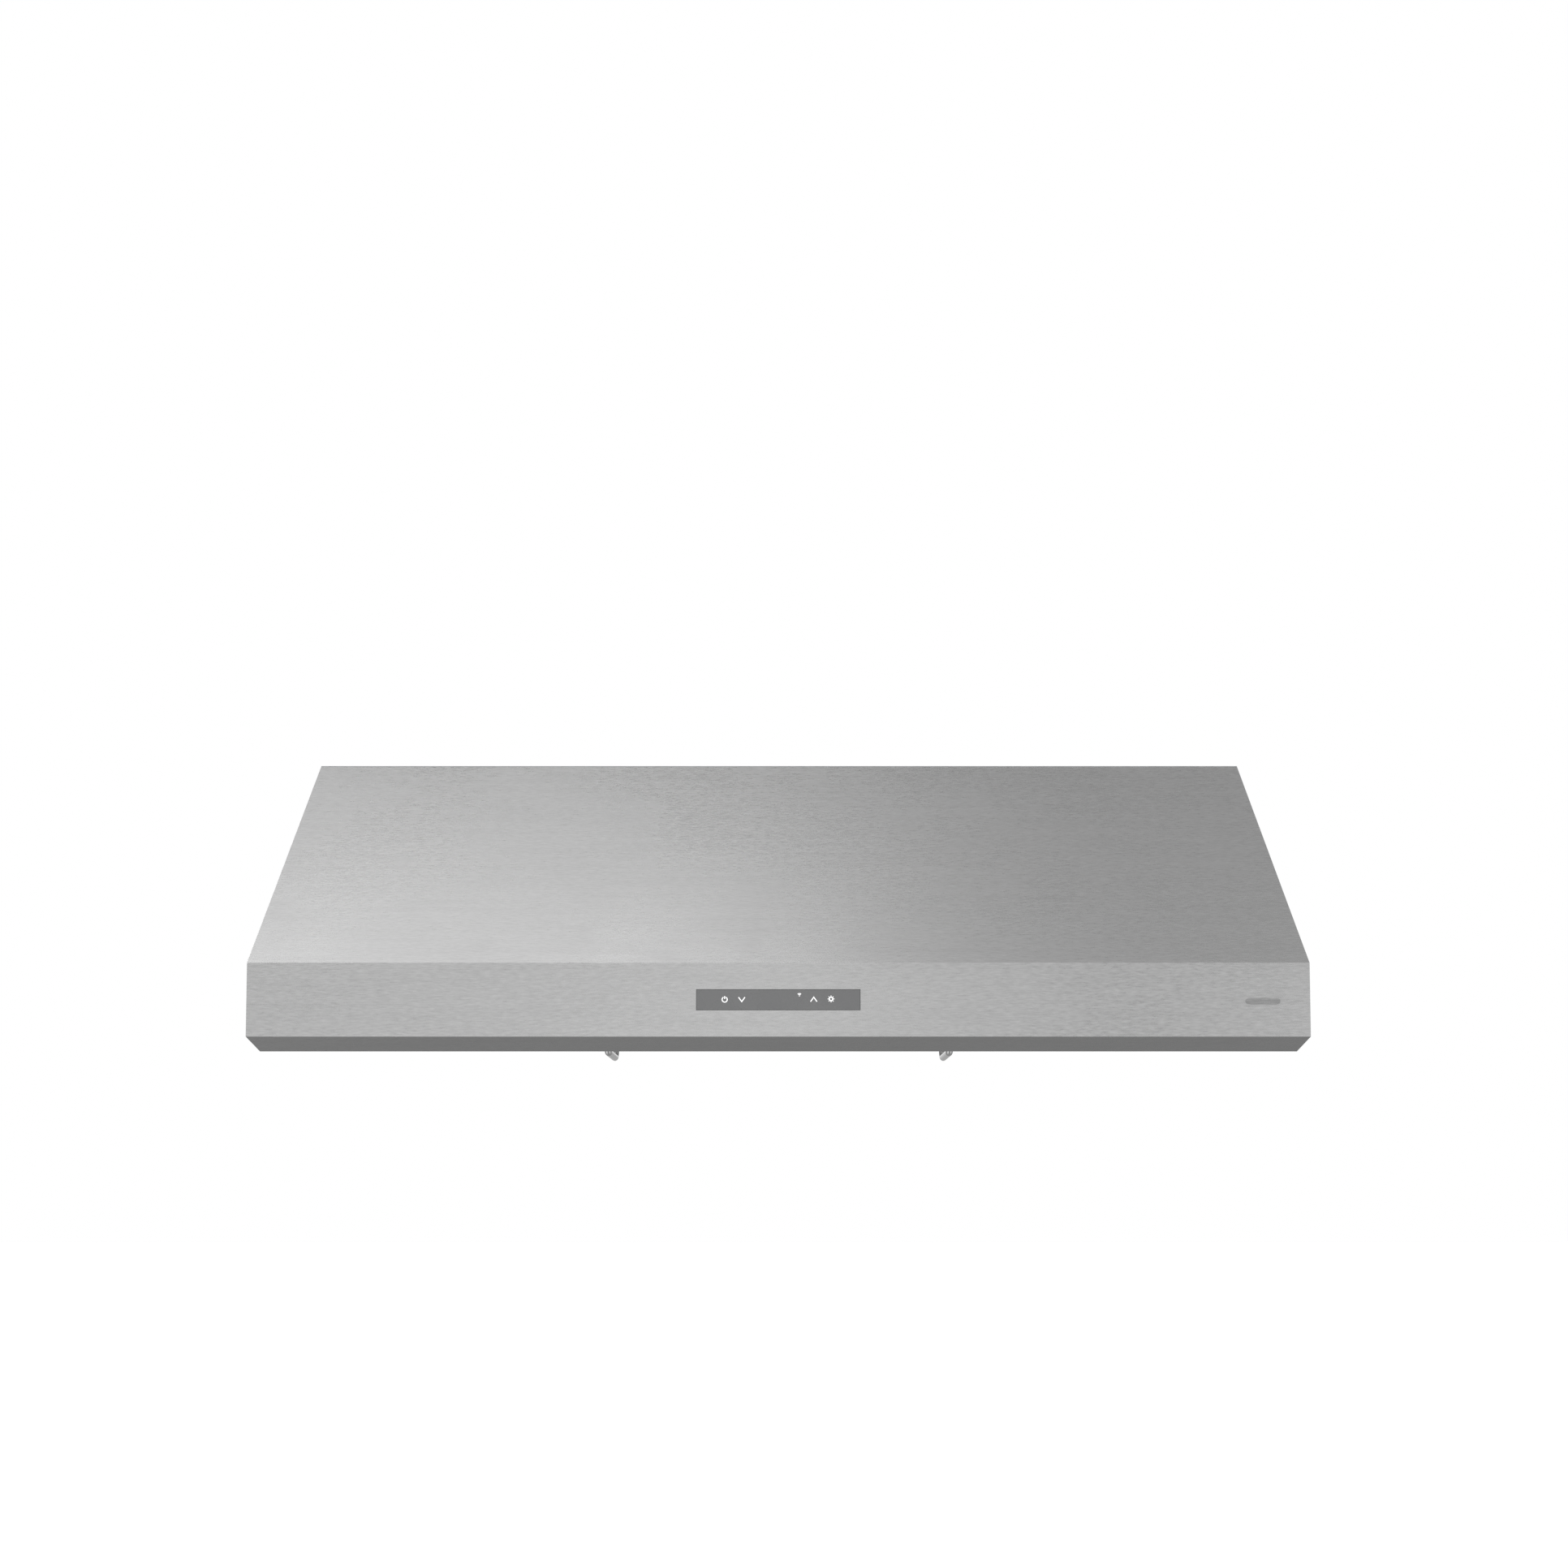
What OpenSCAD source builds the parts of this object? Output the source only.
// Under cabinet range hood, built as its real sheet-metal and blower parts.
// Origin: centre of the top face's rear edge. X right, front faces -Y, Z up. Millimetres.

/* [Body] */
// outer width of the hood
hood_w = 911; // [860:1:1060]
// depth from the wall to the front face
hood_d = 592; // [570:1:620]
// depth of the flat top
top_d = 305; // [300:1:320]
// height of the sloped front
slope_h = 192.5; // [185:0.5:200]
// height of the upright front face
face_h = 63; // [55:1:70]
// how far the bottom lip runs back
lip_d = 52.3; // [48:0.1:58]
// how far the bottom lip drops
lip_h = 15.2; // [13:0.1:18]
// outer sheet thickness
skin = 1.2; // [1:0.1:1.5]

/* [Filters] */
// width of one baffle filter
filter_w = 312; // [290:1:314]
// length of one baffle filter along its slope
filter_l = 346; // [330:1:350]
// thickness of one baffle filter
filter_t = 14; // [13.5:0.1:14.5]
// slope of the filters down towards the wall, in degrees
filter_tilt = 6.5; // [6:0.1:7]
// distance between the legs of a filter handle
handle_span = 96; // [80:1:110]
// rod diameter of a filter handle
handle_rod = 7; // [6:0.5:8]
// distance from the filter to the far side of its handle
handle_drop = 47.5; // [42:0.5:50]

/* [Duct] */
// inside radius of the round duct outlet
duct_r = 101.6; // [95:0.1:101.6]
// distance from the wall to the duct's centre
duct_back = 128; // [126:1:130]

/* [Controls] */
// width of the touch strip
strip_w = 140.2; // [120:0.1:160]
// height of the touch strip
strip_h = 17.3; // [15:0.1:20]

/* [Hidden] */
$fn = 64;
eps = 0.01;

// ---- body outline, as [y, z] points ----
hood_h = slope_h + face_h + lip_h;
half_w = hood_w / 2;
inner_half_w = half_w - skin;
top_front = [-top_d, 0];
slope_foot = [-hood_d, -slope_h];
face_foot = [-hood_d, -slope_h - face_h];
lip_end = [-hood_d + lip_d, -hood_h];
lip_flange_h = 12;
slope_run = (hood_d - top_d) / slope_h;
canopy_start = [-top_d - skin * slope_run, -skin];
canopy_path = [canopy_start, slope_foot, face_foot, lip_end, lip_end + [0, lip_flange_h]];

// ---- filter plane: its own frame has y along the slope and z square to it ----
plate = 1;
filter_half_t = filter_t / 2;
pivot_y = -112;
pivot_z = -258.4;
filter_x = 162;
filter_gap = 2;
filter_back = -8;
filter_front = filter_back - filter_l;
opening_front = filter_front - filter_gap;
opening_side = filter_x + filter_w / 2 + filter_gap;
mullion_half = filter_x - filter_w / 2 - filter_gap;
stop_gap = 1;
stop_w = 8;
stop_z = filter_half_t + stop_gap;
ledge_y = -100;
ledge_z = -249;
back_flange_h = 12;

// ---- filter parts ----
rail_w = 12;
rail_t = 0.9;
baffle_t = 0.8;
baffle_w = 24;
baffle_pitch = 33.5;
baffle_count = 9;
baffle_leg_top = 1;
catch_x = 110;
catch_z = -0.5;
plunger_r = 3;
plunger_hole_r = 3.3;
handle_near = -272;
handle_bend = 10;
stud_r = 3;
nut_flats_r = 5.8;
nut_h = 4;

// ---- filter hinge ----
hinge_x = 110;
hinge_plate = 2.5;
hinge_space = 0.6;
hinge_pin_r = 3;
hinge_hole_r = 3.06;
hinge_boss_r = 6;

// ---- duct and damper ----
duct_y = -duct_back;
collar_wall = 0.9;
collar_depth = 36;
collar_socket = 22;
collar_bead = 1;
collar_flange_r = duct_r + 17;
flap_r = duct_r - 3.1;
flap_t = 0.8;
flap_z = -30;
flap_rod_r = 2;
flap_bore_r = 2.06;
flap_barrel_r = 3;
flap_clear = 3.4;
knuckle_l = 16;
knuckle_places = [-70, 30];

// ---- blower ----
axis_y = duct_y;
axis_z = -141;
plenum_half_w = 132;
plenum_y0 = -236;
plenum_y1 = -20;
plenum_z = -62;
plenum_top = -skin - plate;
plenum_flange = 10;
scroll_x0 = 56;
scroll_x1 = 128;
scroll_r = 78;
scroll_outlet_back = -118;
inlet_r = 52;
wheel_x0 = 62;
wheel_x1 = 122;
wheel_r = 66;
wheel_in_r = 54;
blade_count = 36;
blade_t = 0.8;
blade_lean = 25;
shaft_r = 5;
shaft_bore_r = 5.05;
shaft_half_l = 110;
motor_r = 46;
motor_half_l = 38;
motor_boss_r = 12;
motor_boss_end = 50;
cradle_x = 43;
cradle_t = 2;
cradle_half_w = 30;
ring_r = 18;
capacitor_r = 17;
capacitor_half_l = 32;
capacitor_y = plenum_y0 - capacitor_r - 2;
capacitor_z = -40;

// ---- electrical parts ----
strip_z = -224.15;
strip_gap = 0.3;
strip_recess = 0.1;
glass_t = 3;
power_box = [140, 80, 45];
power_box_pos = [190, -250, -skin - 45];
junction_size = [80, 80, 45];
junction_pos = [-330, -115, -skin - 45];
conduit_x = -290;
conduit_y = -75;
conduit_r = 8;
knockout_r = 11.1;
lamp_x = 230;
lamp_y = (opening_front + filter_front - 70) / 2;
lamp_hole_r = 27;
lamp_bezel_r = 31;

// ---- mounting holes ----
screw_hole_r = 3.5;
cabinet_x = 410;
cabinet_y0 = -265;
cabinet_y1 = -40;
wall_x = 380;
wall_z0 = -200;
wall_z1 = -40;

// ---- helpers ----

// unit normal on the left of the line from a to b
function left_of(a, b) = let (d = b - a) [-d[1], d[0]] / norm(d);

// the corner p of a sheet's outer line, moved to the sheet's inner line
function inner_corner(a, p, b, t) =
    let (n0 = left_of(a, p), n1 = left_of(p, b), m = n0 + n1)
    p + m * t * 2 / (m * m);

// the inner line of a sheet of thickness t bent along a path
function inner_path(path, t) = let (last = len(path) - 1) [
    for (i = [0 : last])
        i == 0 ? path[0] + left_of(path[0], path[1]) * t
        : i == last ? path[i] + left_of(path[i - 1], path[i]) * t
        : inner_corner(path[i - 1], path[i], path[i + 1], t)
];

function reversed(path) = [for (i = [len(path) - 1 : -1 : 0]) path[i]];

// a sheet bent along a [y, z] path and drawn from x0 to x1
module bent_sheet(path, t, x0, x1) {
    extrude_x(x0, x1)
        polygon(concat(path, reversed(inner_path(path, t))));
}

// a [y, z] outline drawn from x0 to x1
module extrude_x(x0, x1) {
    translate([x0, 0, 0])
        rotate([90, 0, 90])
            linear_extrude(x1 - x0)
                children();
}

module block(low, high) {
    translate(low)
        cube(high - low);
}

// a cylinder along X from x0 to x1
module rod_x(x0, x1, r) {
    translate([x0, 0, 0])
        rotate([0, 90, 0])
            cylinder(h = x1 - x0, r = r);
}

module tube_x(x0, x1, r_out, r_in) {
    difference() {
        rod_x(x0, x1, r_out);
        rod_x(x0 - 1, x1 + 1, r_in);
    }
}

module filter_plane() {
    translate([0, pivot_y, pivot_z])
        rotate([-filter_tilt, 0, 0])
            children();
}

module blower_axis() {
    translate([0, axis_y, axis_z])
        children();
}

module both_sides() {
    children();
    mirror([1, 0, 0])
        children();
}

// a point of the filter plane, as [y, z] in the hood's frame
function from_plane(y, z) = [
    pivot_y + y * cos(filter_tilt) + z * sin(filter_tilt),
    pivot_z - y * sin(filter_tilt) + z * cos(filter_tilt)
];

// ---- outer shell ----
module front_canopy() {
    color("silver")
        difference() {
            bent_sheet(canopy_path, skin, -half_w, half_w);
            both_sides()
                block([inner_half_w, lip_end[0] - skin - eps, -hood_h + skin],
                      [half_w + 1, lip_end[0] + 1, -hood_h + lip_flange_h + 1]);
            block([-strip_w / 2 - strip_gap, -hood_d - 1, strip_z - strip_h / 2 - strip_gap],
                  [strip_w / 2 + strip_gap, -hood_d + skin + 1, strip_z + strip_h / 2 + strip_gap]);
        }
}

module side_panel() {
    inner = inner_path(canopy_path, skin);
    top_point = [inner[1][0] + (inner[1][1] + skin) * -slope_run, -skin];
    lip_rise = (inner[2] - inner[3])[1] / (inner[2] - inner[3])[0];
    lip_point = [lip_end[0], inner[3][1] + lip_rise * (lip_end[0] - inner[3][0])];
    hem_w = 12;
    color("gainsboro") {
        extrude_x(inner_half_w, half_w)
            polygon([[-skin, -skin], top_point, inner[1], inner[2], lip_point,
                     lip_end, [-skin, -hood_h]]);
        block([inner_half_w - hem_w, lip_end[0] + plate, -hood_h],
              [inner_half_w, -skin, -hood_h + skin]);
    }
}

module top_panel() {
    color("silver")
        difference() {
            extrude_x(-half_w, half_w)
                polygon([top_front, canopy_start, [-skin, -skin], [-skin, 0]]);
            translate([0, duct_y, -5])
                cylinder(h = 10, r = duct_r + collar_wall);
            translate([conduit_x, conduit_y, -5])
                cylinder(h = 10, r = knockout_r);
            for (x = [-cabinet_x, cabinet_x], y = [cabinet_y0, cabinet_y1])
                translate([x, y, -5])
                    cylinder(h = 10, r = screw_hole_r);
        }
}

module back_panel() {
    color("silver")
        difference() {
            block([-half_w, -skin, -hood_h], [half_w, 0, 0]);
            for (x = [-wall_x, wall_x], z = [wall_z0, wall_z1])
                translate([x, 5, z])
                    rotate([90, 0, 0])
                        cylinder(h = 10, r = screw_hole_r);
        }
}

// ---- underside ----
module lamp_panel() {
    wall_y = lip_end[0] + plate;
    plane_y = (wall_y - pivot_y + filter_half_t * sin(filter_tilt)) / cos(filter_tilt);
    path = [
        [wall_y, -hood_h + 0.7],
        from_plane(plane_y, -filter_half_t),
        from_plane(opening_front, -filter_half_t),
        from_plane(opening_front, stop_z),
        from_plane(opening_front + filter_gap + stop_w, stop_z)
    ];
    color("lightsteelblue")
        difference() {
            bent_sheet(path, plate, -inner_half_w, inner_half_w);
            filter_plane() {
                for (x = [-lamp_x, lamp_x])
                    translate([x, lamp_y, -filter_half_t - 5])
                        cylinder(h = 10, r = lamp_hole_r);
                catch_places()
                    translate([0, -plate - 1, 0])
                        rotate([-90, 0, 0])
                            cylinder(h = plate + 2, r = plunger_hole_r);
            }
        }
}

module filler_panel() {
    rear = (ledge_y - pivot_y) / cos(filter_tilt) - 1;
    outer = inner_half_w;
    color("lightsteelblue")
        filter_plane() {
            block([opening_side, opening_front, -filter_half_t],
                  [outer, rear, -filter_half_t + plate]);
            block([opening_side, opening_front, -filter_half_t],
                  [opening_side + plate, rear, stop_z]);
            block([opening_side - stop_w, opening_front + stop_w + 3, stop_z],
                  [opening_side + plate, filter_back - 6, stop_z + plate]);
            block([outer - plate, opening_front, -filter_half_t],
                  [outer, rear, stop_z]);
        }
}

module centre_mullion() {
    rear = (ledge_y - pivot_y) / cos(filter_tilt) - 1;
    color("lightsteelblue")
        filter_plane() {
            block([-mullion_half, opening_front, -filter_half_t],
                  [mullion_half, rear, -filter_half_t + plate]);
            both_sides() {
                block([mullion_half - plate, opening_front, -filter_half_t],
                      [mullion_half, rear, stop_z]);
                block([mullion_half - plate, opening_front + stop_w + 3, stop_z],
                      [mullion_half + stop_w, filter_back - 6, stop_z + plate]);
            }
        }
}

module rear_ledge() {
    wall_foot = -266.5;
    lip = 24;
    color("slategray") {
        block([-inner_half_w, ledge_y, wall_foot], [inner_half_w, ledge_y + plate, ledge_z + eps]);
        block([-inner_half_w, ledge_y - lip, ledge_z], [inner_half_w, -skin, ledge_z + plate]);
        block([-inner_half_w, -skin - plate, ledge_z],
              [inner_half_w, -skin, ledge_z + back_flange_h]);
    }
}

// ---- grease tray and its clips ----
tray_half_w = 430;
tray_y0 = ledge_y + plate + 0.6;
tray_y1 = -12;
tray_z0 = -hood_h + skin;
tray_z1 = ledge_z - 3;
clip_x = 300;

module grease_tray() {
    color("tan")
        difference() {
            block([-tray_half_w, tray_y0, tray_z0], [tray_half_w, tray_y1, tray_z1]);
            block([-tray_half_w + plate, tray_y0 + plate, tray_z0 + plate],
                  [tray_half_w - plate, tray_y1 - plate, tray_z1 + 1]);
        }
}

// three pairs of spring legs that hang from the ledge just inside the tray's walls
module tray_clips() {
    clip_t = 0.6;
    clip_half_w = 12;
    clip_h = 14;
    wall_gap = 0.4;
    front_y = tray_y0 + plate + wall_gap;
    rear_y = tray_y1 - plate - wall_gap;
    color("dimgray")
        for (x = [-clip_x, 0, clip_x])
            translate([x, 0, ledge_z]) {
                block([-clip_half_w, front_y, -clip_h], [clip_half_w, front_y + clip_t, 0]);
                block([-clip_half_w, front_y, -clip_t], [clip_half_w, front_y + clip_h, 0]);
                block([-clip_half_w, rear_y - clip_t, -clip_h], [clip_half_w, rear_y, 0]);
                block([-clip_half_w, rear_y - clip_h - wall_gap, -clip_t], [clip_half_w, rear_y, 0]);
            }
}

// ---- duct collar and damper ----
module duct_collar() {
    ledge_r = duct_r - 8.6;
    ledge_top = flap_z - 1;
    rod_notch = 4;
    color("darkgray")
        translate([0, duct_y, 0])
            difference() {
                union() {
                    translate([0, 0, -collar_depth])
                        cylinder(h = collar_depth, r = duct_r + collar_wall);
                    translate([0, 0, -skin - plate])
                        cylinder(h = plate, r = collar_flange_r);
                }
                translate([0, 0, -collar_socket])
                    cylinder(h = collar_depth, r = duct_r);
                translate([0, 0, ledge_top])
                    cylinder(h = collar_depth, r = duct_r - collar_bead);
                translate([0, 0, -collar_depth - 1])
                    cylinder(h = collar_depth + 1 + ledge_top - plate, r = duct_r - collar_bead);
                translate([0, 0, -collar_depth - 1])
                    cylinder(h = collar_depth, r = ledge_r);
                intersection() {
                    translate([0, 0, -collar_depth - 1])
                        cylinder(h = collar_depth, r = duct_r - collar_bead);
                    block([-duct_r, -rod_notch, -collar_depth - 1], [duct_r, rod_notch, ledge_top + 1]);
                }
                translate([0, 0, flap_z])
                    rod_x(-duct_r - 5, duct_r + 5, flap_rod_r);
            }
}

module damper_rod() {
    color("gold")
        translate([0, duct_y, flap_z])
            rod_x(-duct_r - 2.5, duct_r + 2.5, flap_rod_r);
}

// a half disc on the +Y side of the rod, with two knuckles round it
module damper_flap() {
    intersection() {
        translate([0, 0, -flap_t / 2])
            cylinder(h = flap_t, r = flap_r);
        block([-flap_r, flap_clear, -5], [flap_r, flap_r + 1, 5]);
    }
    difference() {
        for (x = knuckle_places) {
            rod_x(x - knuckle_l / 2, x + knuckle_l / 2, flap_barrel_r);
            block([x - knuckle_l / 2, 0, -flap_t / 2],
                  [x + knuckle_l / 2, flap_clear + 1, flap_t / 2]);
        }
        rod_x(-duct_r, duct_r, flap_bore_r);
    }
}

module rear_damper_flap() {
    color("lightgreen")
        translate([0, duct_y, flap_z])
            damper_flap();
}

module front_damper_flap() {
    color("palegreen")
        translate([0, duct_y, flap_z])
            rotate([0, 0, 180])
                damper_flap();
}

// ---- blower ----
module outlet_plenum() {
    rim = [plenum_flange, plenum_flange, 0];
    low = [-plenum_half_w, plenum_y0, plenum_z];
    high = [plenum_half_w, plenum_y1, plenum_top];
    color("darkgray")
        difference() {
            union() {
                block(low, high);
                block([low[0], low[1], plenum_top - plate] - rim, high + rim);
            }
            block(low + [plate, plate, plate], high + [-plate, -plate, 1]);
            both_sides()
                block([scroll_x0 + plate, axis_y - scroll_r + plate, plenum_z - 1],
                      [scroll_x1 - plate, scroll_outlet_back - plate, plenum_z + 5]);
        }
}

// side view of the scroll, shrunk by t all round
module scroll_outline(t) {
    translate([axis_y, axis_z])
        circle(r = scroll_r - t);
    translate([axis_y - scroll_r + t, axis_z])
        square([scroll_outlet_back - axis_y + scroll_r - 2 * t, plenum_z - axis_z]);
}

module scroll() {
    color("lightgray") {
        extrude_x(scroll_x0 + plate, scroll_x1 - plate)
            difference() {
                scroll_outline(0);
                scroll_outline(plate);
                translate([axis_y - scroll_r + plate, axis_z])
                    square([scroll_outlet_back - axis_y + scroll_r - 2 * plate, scroll_r * 2]);
            }
        difference() {
            extrude_x(scroll_x0, scroll_x0 + plate)
                scroll_outline(0);
            blower_axis()
                rod_x(scroll_x0 - 1, scroll_x0 + 5, ring_r + 2);
        }
    }
}

module inlet_plate() {
    mouth_r = 4;
    color("whitesmoke")
        difference() {
            union() {
                extrude_x(scroll_x1 - plate, scroll_x1)
                    scroll_outline(0);
                blower_axis()
                    rod_x(scroll_x1 - plate, scroll_x1 + mouth_r, inlet_r + mouth_r);
            }
            blower_axis() {
                rod_x(scroll_x0, scroll_x1 + 20, inlet_r);
                translate([scroll_x1 + mouth_r, 0, 0])
                    rotate([0, 90, 0])
                        rotate_extrude()
                            translate([inlet_r + mouth_r, 0])
                                circle(r = mouth_r - plate);
            }
        }
}

module impeller() {
    color("steelblue")
        blower_axis() {
            tube_x(wheel_x0, wheel_x0 + 1.2, wheel_r, shaft_r);
            tube_x(wheel_x0 - 8, wheel_x0 + 24, 10, shaft_r);
            tube_x(wheel_x1 - 1.2, wheel_x1, wheel_r, wheel_in_r);
            for (i = [0 : blade_count - 1])
                rotate([i * 360 / blade_count, 0, 0])
                    translate([wheel_x0, 0, (wheel_r + wheel_in_r) / 2])
                        rotate([blade_lean, 0, 0])
                            translate([0, -blade_t / 2, -5.5])
                                cube([wheel_x1 - wheel_x0, blade_t, 11]);
        }
}

module motor_shaft() {
    color("gold")
        blower_axis()
            rod_x(-shaft_half_l, shaft_half_l, shaft_r);
}

module motor_body() {
    bell_h = 6;
    color("black")
        blower_axis()
            difference() {
                union() {
                    rod_x(-motor_half_l, motor_half_l, motor_r);
                    rod_x(-motor_half_l + bell_h, motor_half_l - bell_h, motor_r + 2);
                    rod_x(-motor_boss_end, motor_boss_end, motor_boss_r);
                }
                rod_x(-motor_boss_end - 1, motor_boss_end + 1, shaft_bore_r);
            }
}

module motor_rubber_rings() {
    color("dimgray")
        both_sides()
            blower_axis()
                tube_x(cradle_x - 3, cradle_x + 5, ring_r, motor_boss_r);
}

module motor_cradle() {
    foot = 26;
    color("darkgray") {
        both_sides()
            difference() {
                union() {
                    extrude_x(cradle_x, cradle_x + cradle_t) {
                        translate([axis_y, axis_z])
                            circle(r = cradle_half_w);
                        translate([axis_y - cradle_half_w, axis_z])
                            square([2 * cradle_half_w, plenum_z - axis_z]);
                    }
                }
                blower_axis()
                    rod_x(cradle_x - 1, cradle_x + 9, ring_r);
            }
        block([-cradle_x - eps, axis_y - foot, plenum_z - cradle_t],
              [cradle_x + eps, axis_y + foot, plenum_z]);
    }
}

module capacitor() {
    color("white")
        translate([0, capacitor_y, capacitor_z])
            rod_x(-capacitor_half_l, capacitor_half_l, capacitor_r);
}

// a band round the capacitor on a foot against the plenum's front
module capacitor_clip() {
    half_w = 8;
    band_t = 1;
    foot_t = 1.5;
    foot_half_h = 24;
    foot_y = plenum_y0 - capacitor_y;
    color("darkgray")
        translate([0, capacitor_y, capacitor_z]) {
            tube_x(-half_w, half_w, capacitor_r + band_t, capacitor_r);
            difference() {
                block([-half_w, foot_y - foot_t, -foot_half_h], [half_w, foot_y, foot_half_h]);
                rod_x(-half_w - 1, half_w + 1, capacitor_r + band_t / 2);
            }
        }
}

// ---- electrical boxes ----

// a box hanging from the top panel, open below
module hung_box(pos, size, wall) {
    difference() {
        block(pos, pos + size);
        block(pos + [wall, wall, -1], pos + size - [wall, wall, wall]);
    }
}

module power_board_box() {
    color("darkgray")
        hung_box(power_box_pos, power_box, plate);
}

module power_board_cover() {
    color("gray")
        block(power_box_pos - [0, 0, plate], power_box_pos + [power_box[0], power_box[1], 0]);
}

// a board with a transformer, two relays and a capacitor hanging under it
module power_board() {
    edge_gap = 8;
    board_t = 1.6;
    low = power_box_pos + [edge_gap, edge_gap, 20];
    transformer = [38, 34, 15];
    relay = [18, 18, 12];
    can_r = 6;
    can_h = 14;
    color("seagreen") {
        block(low, low + [power_box[0] - 2 * edge_gap, power_box[1] - 2 * edge_gap, board_t]);
        block(low + [10, 10, -transformer[2]], low + [10 + transformer[0], 10 + transformer[1], 0]);
        for (x = [62, 86])
            block(low + [x, 12, -relay[2]], low + [x + relay[0], 12 + relay[1], 0]);
        translate(low + [100, 48, -can_h])
            cylinder(h = can_h, r = can_r);
    }
}

module junction_box() {
    color("darkgray")
        difference() {
            hung_box(junction_pos, junction_size, plate);
            translate([conduit_x, conduit_y, -skin - 5])
                cylinder(h = 10, r = knockout_r);
        }
}

module junction_box_cover() {
    color("gray")
        block(junction_pos - [0, 0, plate],
              junction_pos + [junction_size[0], junction_size[1], 0]);
}

module conduit_bushing() {
    color("orange")
        translate([conduit_x, conduit_y, 0])
            difference() {
                union() {
                    translate([0, 0, -14])
                        cylinder(h = 14, r = knockout_r);
                    translate([0, 0, -skin - plate - 2])
                        cylinder(h = 2, r = knockout_r + 4);
                }
                translate([0, 0, -20])
                    cylinder(h = 30, r = conduit_r);
            }
}

// ---- touch controls ----
control_back = 20;
control_wall = 2;

module control_glass() {
    front = -hood_d + strip_recess;
    color("darkslategray")
        block([-strip_w / 2, front, strip_z - strip_h / 2],
              [strip_w / 2, front + glass_t, strip_z + strip_h / 2]);
}

module control_housing() {
    inner_face = -hood_d + skin;
    glass_back = -hood_d + strip_recess + glass_t;
    color("black")
        difference() {
            block([-strip_w / 2 - 10, inner_face, strip_z - strip_h / 2 - 7],
                  [strip_w / 2 + 10, inner_face + control_back, strip_z + strip_h / 2 + 9]);
            block([-strip_w / 2 - 0.2, inner_face - 1, strip_z - strip_h / 2 - 0.2],
                  [strip_w / 2 + 0.2, glass_back, strip_z + strip_h / 2 + 0.2]);
            block([-strip_w / 2 + 2, glass_back - eps, strip_z - strip_h / 2 + 1],
                  [strip_w / 2 - 2, inner_face + control_back - control_wall,
                   strip_z + strip_h / 2 - 1]);
        }
}

// the touch board behind the glass, with its chip and its lead socket
module control_board() {
    front = -hood_d + strip_recess + glass_t;
    back = front + 1.6;
    chip = [24, 3.4, 10];
    socket = [16, 7.4, 8];
    socket_x = 40;
    color("seagreen") {
        block([-strip_w / 2 + 4, front, strip_z - strip_h / 2 + 2],
              [strip_w / 2 - 4, back, strip_z + strip_h / 2 - 2]);
        block([-chip[0] / 2, back, strip_z - chip[2] / 2],
              [chip[0] / 2, back + chip[1], strip_z + chip[2] / 2]);
        block([socket_x, back, strip_z - socket[2] / 2],
              [socket_x + socket[0], back + socket[1], strip_z + socket[2] / 2]);
    }
}

// ---- lamps, drawn on the right and mirrored for the left ----
module lamp_place() {
    filter_plane()
        translate([lamp_x, lamp_y, -filter_half_t])
            children();
}

module lamp_housing() {
    color("dimgray")
        lamp_place() {
            difference() {
                translate([0, 0, -1])
                    cylinder(h = 18, r = lamp_hole_r - 1);
                translate([0, 0, -2])
                    cylinder(h = 8, r = lamp_hole_r - 4);
            }
            for (a = [0 : 45 : 135])
                rotate([0, 0, a])
                    block([-lamp_hole_r + 3, -0.7, 16], [lamp_hole_r - 3, 0.7, 24]);
        }
}

module lamp_bezel() {
    color("silver")
        lamp_place()
            difference() {
                translate([0, 0, -2.5])
                    cylinder(h = 2.5, r = lamp_bezel_r);
                translate([0, 0, -1])
                    cylinder(h = 3, r = lamp_hole_r - 1);
                translate([0, 0, -5])
                    cylinder(h = 6, r = lamp_hole_r - 4.5);
            }
}

module lamp_lens() {
    color("white")
        lamp_place()
            translate([0, 0, -2])
                cylinder(h = 2, r = lamp_hole_r - 4.5);
}

// ---- fixed filter fittings ----
module filter_hinge_brackets() {
    reach = (ledge_y - pivot_y) / cos(filter_tilt) - 0.5;
    inside = hinge_x + hinge_plate / 2 + hinge_space;
    color("darkorange")
        for (x = [-filter_x, filter_x], side = [-1, 1])
            translate([x, 0, 0])
                mirror([side < 0 ? 1 : 0, 0, 0])
                    filter_plane()
                        difference() {
                            union() {
                                rod_x(inside, inside + hinge_plate, hinge_boss_r);
                                block([inside, 0, -5], [inside + hinge_plate, reach, 5]);
                            }
                            rod_x(inside - 1, inside + hinge_plate + 1, hinge_hole_r);
                        }
}

// the catches' plungers, where they pass through the lamp panel's upright wall
module catch_places() {
    for (x = [-filter_x - catch_x, -filter_x + catch_x, filter_x - catch_x, filter_x + catch_x])
        translate([x, opening_front, catch_z])
            children();
}

module filter_catches() {
    body_half_w = 10;
    body_l = 12;
    body_top = 4.5;
    reach = 0.9;
    color("darkorange")
        filter_plane()
            catch_places() {
                block([-body_half_w, -plate - body_l, -filter_half_t + plate - catch_z],
                      [body_half_w, -plate, body_top]);
                translate([0, -plate - eps, 0])
                    rotate([-90, 0, 0])
                        cylinder(h = plate + reach, r = plunger_r);
            }
}

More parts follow.
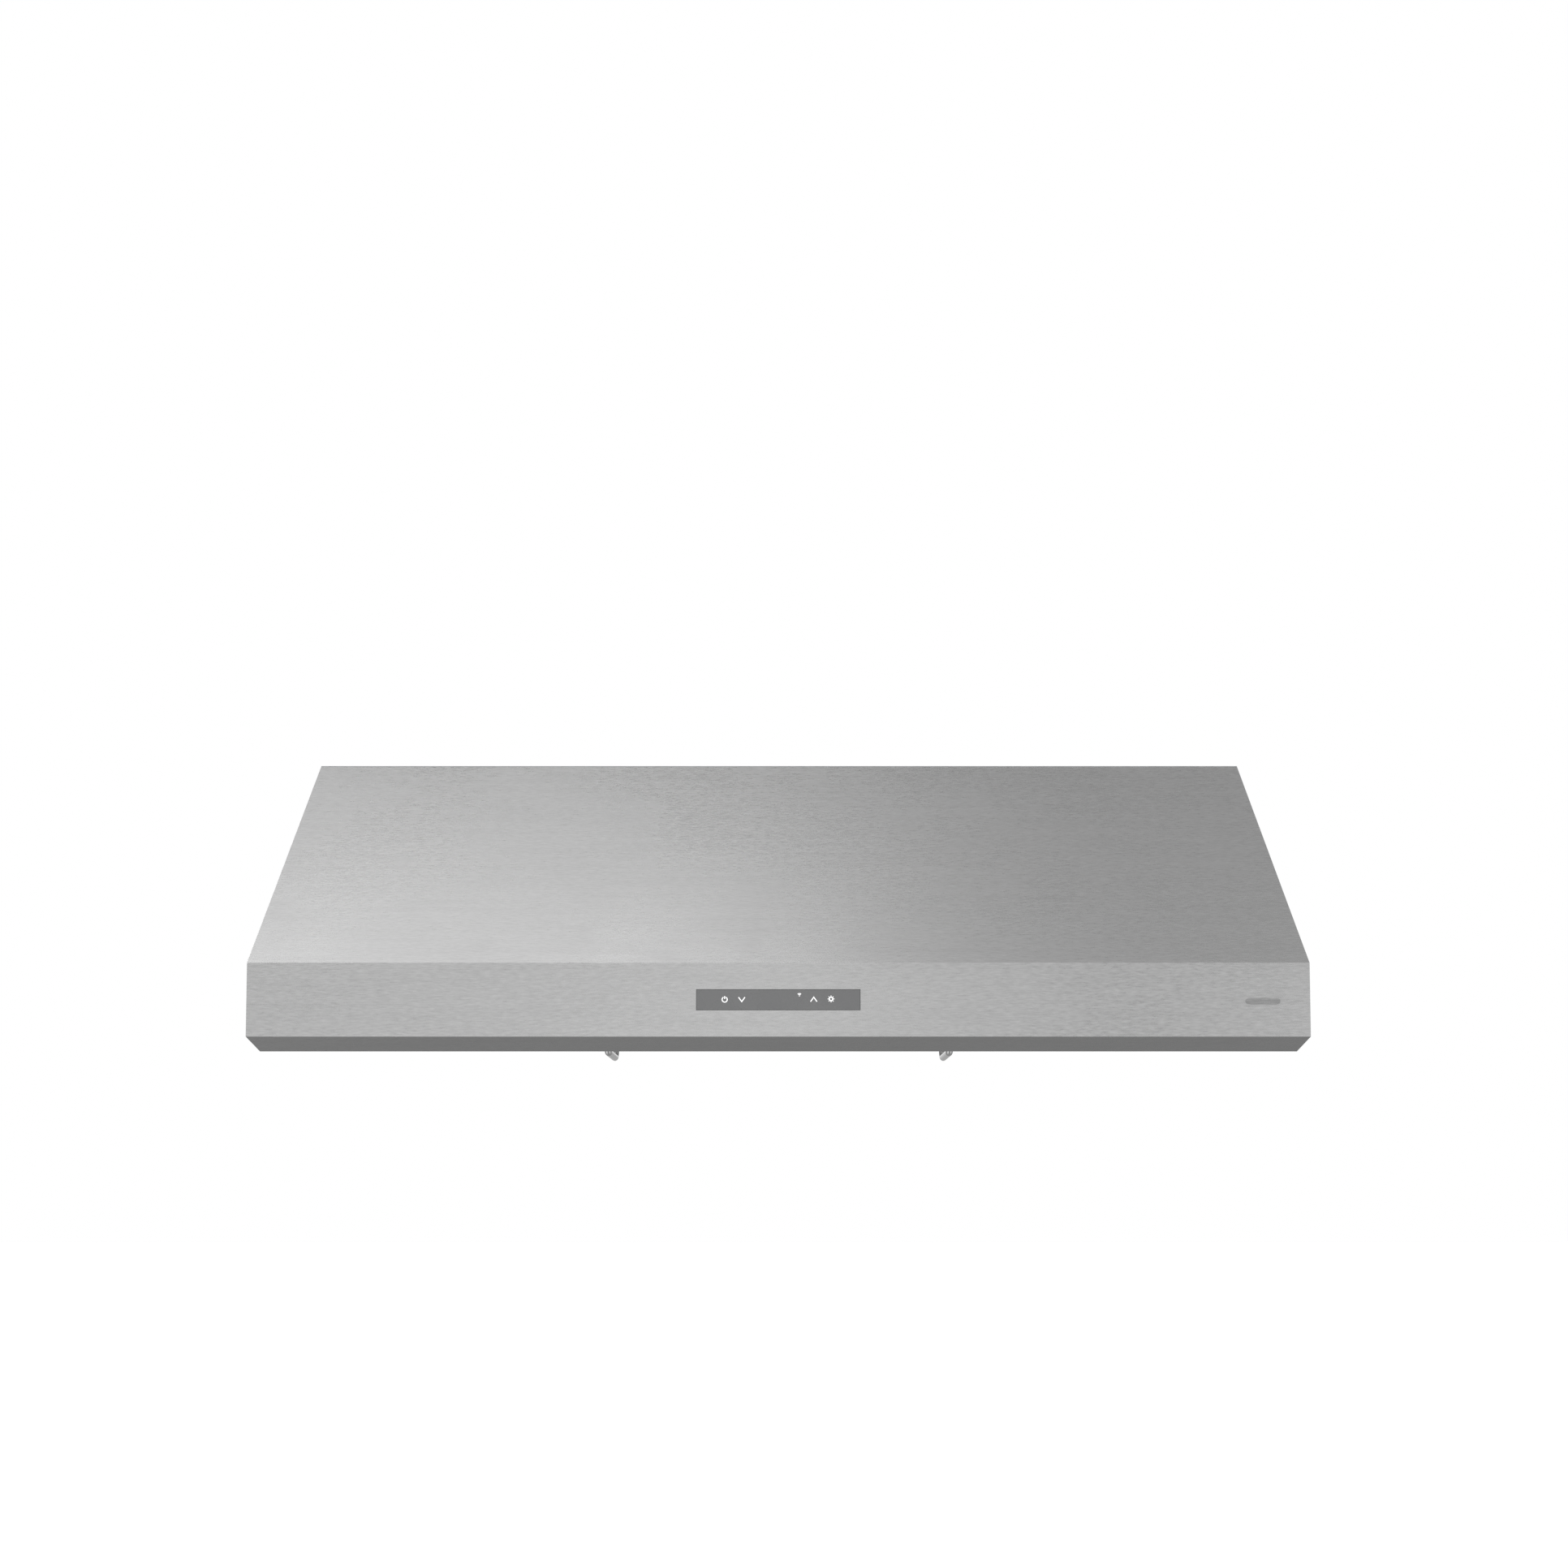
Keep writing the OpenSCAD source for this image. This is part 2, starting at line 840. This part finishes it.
// screws up into the filler panels and along the lamp panel
module panel_screws() {
    head_h = 1.6;
    head_r = 4;
    outer_x = 410;
    inner_x = 100;
    color("gold")
        filter_plane() {
            for (x = [-outer_x, outer_x], y = [opening_front + 30, -190, -40])
                translate([x, y, -filter_half_t - head_h])
                    cylinder(h = head_h, r = head_r);
            for (x = [-outer_x, -inner_x, inner_x, outer_x])
                translate([x, opening_front - 20, -filter_half_t - head_h])
                    cylinder(h = head_h, r = head_r);
        }
}

// heads under the collar's flange, under the plenum's flange and on the plenum's floor
module blower_screws() {
    head_r = 4;
    head_h = 2.5;
    color("gold") {
        for (a = [45 : 90 : 315])
            translate([0, duct_y, plenum_top - head_h])
                rotate([0, 0, a])
                    translate([duct_r + 9, 0, 0])
                        cylinder(h = head_h, r = head_r);
        for (x = [-1, 1] * (plenum_half_w + plenum_flange / 2), y = [-200, duct_y, -56])
            translate([x, y, plenum_top - plate - head_h])
                cylinder(h = head_h, r = head_r);
        for (x = [-50, 50], y = [-160, -96])
            translate([x, y, plenum_z + plate])
                cylinder(h = head_h, r = head_r);
    }
}

// ---- filters, drawn about their own centre line ----
module filter_place(side) {
    translate([side * filter_x, 0, 0])
        filter_plane()
            children();
}

module filter_frame() {
    color("silver")
        difference() {
            block([-filter_w / 2, filter_front, -filter_half_t],
                  [filter_w / 2, filter_back, filter_half_t]);
            block([-filter_w / 2 + rail_t, filter_front + rail_t, -filter_half_t + rail_t],
                  [filter_w / 2 - rail_t, filter_back - rail_t, filter_half_t - rail_t]);
            block([-filter_w / 2 + rail_w, filter_front + rail_w, -filter_t],
                  [filter_w / 2 - rail_w, filter_back - rail_w, filter_t]);
            for (x = [-135 : 30 : 135])
                translate([x, filter_back - rail_w / 2, -filter_t])
                    cylinder(h = filter_t, r = 2);
        }
}

// one channel about x; the upper row's channels open down, the lower row's open up
module baffle(x, up) {
    end_gap = 0.3;
    web_z = filter_half_t - rail_t;
    leg_z = baffle_leg_top;
    low = [x - baffle_w / 2, filter_front + rail_t + end_gap, up ? -leg_z : -web_z];
    high = [x + baffle_w / 2, filter_back - rail_t - end_gap, up ? web_z : leg_z];
    difference() {
        block(low, high);
        block([low[0] + baffle_t, low[1] - 1, up ? low[2] - 1 : low[2] + baffle_t],
              [high[0] - baffle_t, high[1] + 1, up ? high[2] - baffle_t : high[2] + 1]);
    }
}

module lower_baffles() {
    color("lightgray")
        difference() {
            for (i = [0 : baffle_count - 1])
                baffle((i - (baffle_count - 1) / 2) * baffle_pitch, false);
            for (y = [handle_near, handle_near + handle_span])
                translate([0, y, -filter_t])
                    cylinder(h = filter_t, r = stud_r + 0.2);
        }
}

module upper_baffles() {
    color("gainsboro")
        for (i = [0 : baffle_count - 2])
            baffle((i - (baffle_count - 2) / 2) * baffle_pitch, true);
}

module filter_handle() {
    r = handle_rod / 2;
    leg_top = -filter_half_t + rail_t;
    bar_z = -filter_half_t - handle_drop + r;
    far = handle_near + handle_span;
    color("silver") {
        for (y = [handle_near, far])
            translate([0, y, 0]) {
                translate([0, 0, bar_z + handle_bend])
                    cylinder(h = leg_top - bar_z - handle_bend, r = r);
                translate([0, 0, leg_top - eps])
                    cylinder(h = 8, r = stud_r);
            }
        translate([0, handle_near + handle_bend, bar_z])
            rotate([-90, 0, 0])
                cylinder(h = handle_span - 2 * handle_bend, r = r);
        for (end = [0, 1])
            translate([0, end ? far - handle_bend : handle_near + handle_bend, bar_z + handle_bend])
                rotate([0, 90, 0])
                    rotate([0, 0, end ? 0 : -90])
                        rotate_extrude(angle = 90)
                            translate([handle_bend, 0])
                                circle(r = r);
    }
}

module filter_handle_nuts() {
    color("gold")
        for (y = [handle_near, handle_near + handle_span])
            translate([0, y, -filter_half_t + rail_t + baffle_t])
                difference() {
                    cylinder(h = nut_h, r = nut_flats_r, $fn = 6);
                    translate([0, 0, -1])
                        cylinder(h = nut_h + 2, r = stud_r);
                }
}

module filter_hinge_pins() {
    color("gold")
        both_sides() {
            rod_x(hinge_x - hinge_plate / 2, hinge_x + hinge_plate / 2, hinge_boss_r);
            block([hinge_x - hinge_plate / 2, filter_back, -hinge_boss_r],
                  [hinge_x + hinge_plate / 2, 0, hinge_boss_r]);
            rod_x(hinge_x, hinge_x + hinge_plate * 1.5 + hinge_space + 1, hinge_pin_r);
        }
}

// ---- what is drawn ----
front_canopy();
mirror([1, 0, 0]) side_panel();  // left_side_panel
side_panel();  // right_side_panel
top_panel();
back_panel();
lamp_panel();
mirror([1, 0, 0]) filler_panel();  // left_filler_panel
filler_panel();  // right_filler_panel
centre_mullion();
rear_ledge();
duct_collar();
damper_rod();
outlet_plenum();
mirror([1, 0, 0]) scroll();  // left_scroll
scroll();  // right_scroll
mirror([1, 0, 0]) inlet_plate();  // left_inlet_plate
inlet_plate();  // right_inlet_plate
motor_body();
motor_cradle();
motor_rubber_rings();
capacitor();
capacitor_clip();
power_board_box();
power_board_cover();
power_board();
junction_box();
junction_box_cover();
conduit_bushing();
control_glass();
control_housing();
control_board();
mirror([1, 0, 0]) lamp_housing();  // left_lamp_housing
mirror([1, 0, 0]) lamp_bezel();  // left_lamp_bezel
mirror([1, 0, 0]) lamp_lens();  // left_lamp_lens
lamp_housing();  // right_lamp_housing
lamp_bezel();  // right_lamp_bezel
lamp_lens();  // right_lamp_lens
filter_hinge_brackets();
filter_catches();
tray_clips();
panel_screws();
blower_screws();
motor_shaft();
mirror([1, 0, 0]) impeller();  // left_impeller
impeller();  // right_impeller
front_damper_flap();
rear_damper_flap();
grease_tray();
filter_place(-1) filter_frame();  // left_filter_frame
filter_place(-1) lower_baffles();  // left_filter_lower_baffles
filter_place(-1) upper_baffles();  // left_filter_upper_baffles
filter_place(-1) filter_handle();  // left_filter_handle
filter_place(-1) filter_handle_nuts();  // left_filter_handle_nuts
filter_place(-1) filter_hinge_pins();  // left_filter_hinge_pins
filter_place(1) filter_frame();  // right_filter_frame
filter_place(1) lower_baffles();  // right_filter_lower_baffles
filter_place(1) upper_baffles();  // right_filter_upper_baffles
filter_place(1) filter_handle();  // right_filter_handle
filter_place(1) filter_handle_nuts();  // right_filter_handle_nuts
filter_place(1) filter_hinge_pins();  // right_filter_hinge_pins
